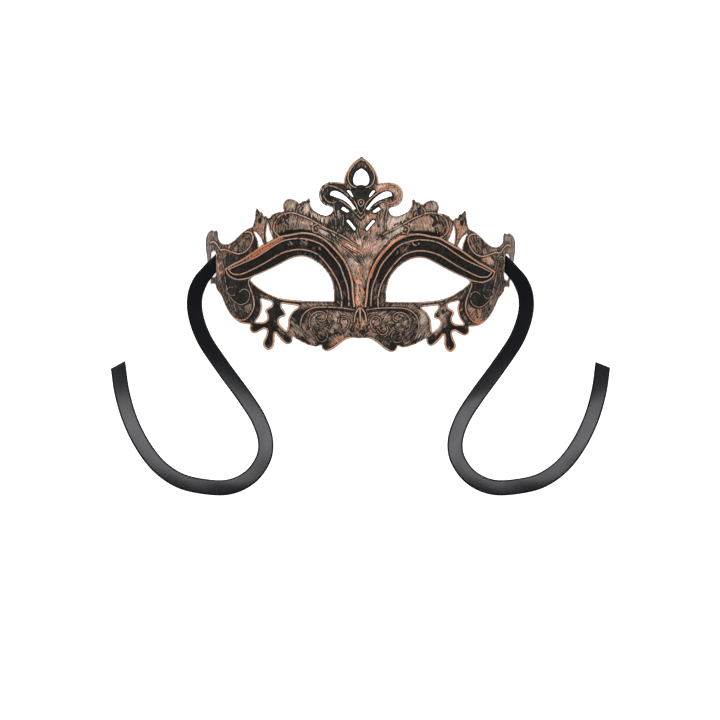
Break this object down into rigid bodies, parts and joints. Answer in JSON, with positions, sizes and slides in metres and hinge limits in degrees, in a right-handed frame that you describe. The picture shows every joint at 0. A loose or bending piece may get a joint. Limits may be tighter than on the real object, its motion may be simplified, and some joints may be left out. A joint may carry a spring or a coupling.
{
  "type": "venetian mask",
  "caption": "Venetian half mask: an open moulded shell with almond eye holes, a pierced crown, leafy wings and pendants, and a loose flat ribbon through a slot in each wing.",
  "frame": {"origin": "middle of the mask's length and width, on the surface that its wings rest on", "axes": "+X to the right of someone who looks at the face, +Y towards the crown, +Z the way the face looks"},
  "size_m": [0.2909, 0.1974, 0.0554],
  "materials": {
    "mask": "moulded shell painted near black and dry brushed with copper and grey beige",
    "ribbon": "black satin ribbon with cut ends"
  },
  "bodies": {
    "root": {"mask_shell": "mask", "ribbon_left": "ribbon", "ribbon_right": "ribbon"}
  },
  "joints": []
}
